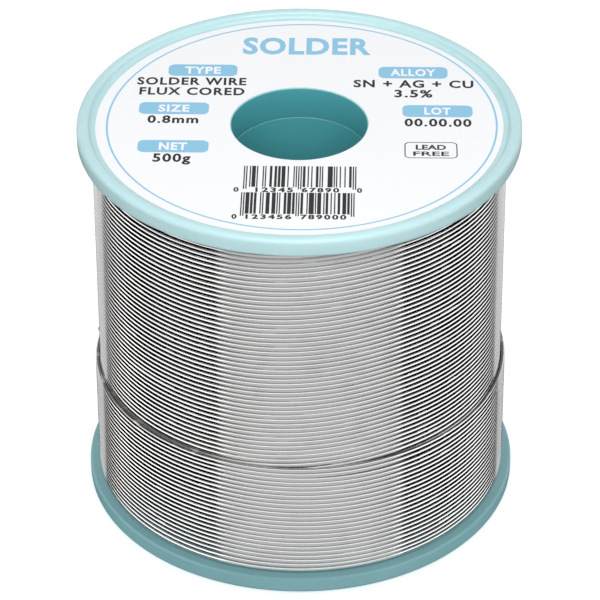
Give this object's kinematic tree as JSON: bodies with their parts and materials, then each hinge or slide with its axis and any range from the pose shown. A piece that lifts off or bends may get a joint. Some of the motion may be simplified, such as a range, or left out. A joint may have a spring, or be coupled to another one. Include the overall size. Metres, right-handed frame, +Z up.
{
  "type": "solder wire spool",
  "caption": "Flanged plastic spool with a through bore, wound with flux-cored solder wire and carrying a round paper label.",
  "frame": {"origin": "on the spool's axis, in the plane of the lower flange's rim that it stands on", "axes": "+Z up along the axis towards the label, -Y towards the side that the label's words are read from, +X to the reader's right"},
  "size_m": [0.0654, 0.0654, 0.0632],
  "materials": {
    "flange_plastic": "satin, light aqua moulded plastic",
    "core_plastic": "satin, aqua moulded plastic",
    "label_paper": "white coated paper, printed",
    "solder": "bright drawn tin-silver-copper solder wire",
    "flux": "amber rosin"
  },
  "bodies": {
    "root": {"lower_flange": "flange_plastic", "upper_flange": "flange_plastic", "core": "core_plastic", "label": "label_paper", "wire_layer_01": "solder", "wire_layer_02": "solder", "wire_layer_03": "solder", "wire_layer_04": "solder", "wire_layer_05": "solder", "wire_layer_06": "solder", "wire_layer_07": "solder", "wire_layer_08": "solder", "wire_layer_09": "solder", "wire_layer_10": "solder", "wire_layer_11": "solder", "wire_layer_12": "solder", "wire_layer_13": "solder", "wire_layer_14": "solder", "wire_layer_15": "solder", "wire_free_end": "solder", "flux_core": "flux", "wire_start_tail": "solder"}
  },
  "joints": []
}
